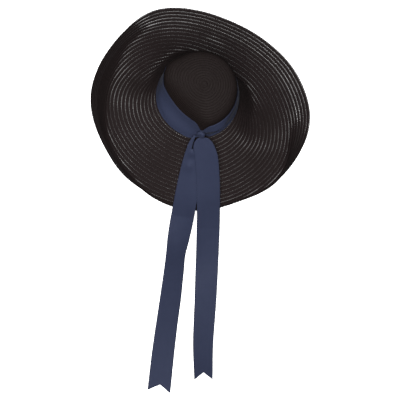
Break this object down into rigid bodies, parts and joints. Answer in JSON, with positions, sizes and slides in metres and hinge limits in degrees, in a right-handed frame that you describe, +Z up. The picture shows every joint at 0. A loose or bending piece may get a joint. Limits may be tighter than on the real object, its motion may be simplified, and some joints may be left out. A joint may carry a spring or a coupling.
{
  "type": "sun hat",
  "caption": "Wide soft braided straw sun hat standing on its brim, with a satin ribbon knotted at the front and its tails laid forward.",
  "frame": {"origin": "middle of the plan of the whole hat with its ribbon tails, on the surface that it stands on", "axes": "+Z up, out of the crown's tip; -Y forward, the way the ribbon tails run; +X to the right as seen from the front with the crown up"},
  "size_m": [0.5082, 0.8898, 0.24],
  "materials": {
    "crown_straw": "matte fine braid, brown black",
    "brim_straw": "glossy sewn braid, brown black",
    "ribbon_satin": "satin, slate blue"
  },
  "bodies": {
    "root": {"crown": "crown_straw", "brim": "brim_straw", "ribbon_band": "ribbon_satin", "knot": "ribbon_satin", "tail_left": "ribbon_satin", "tail_right": "ribbon_satin"}
  },
  "joints": []
}
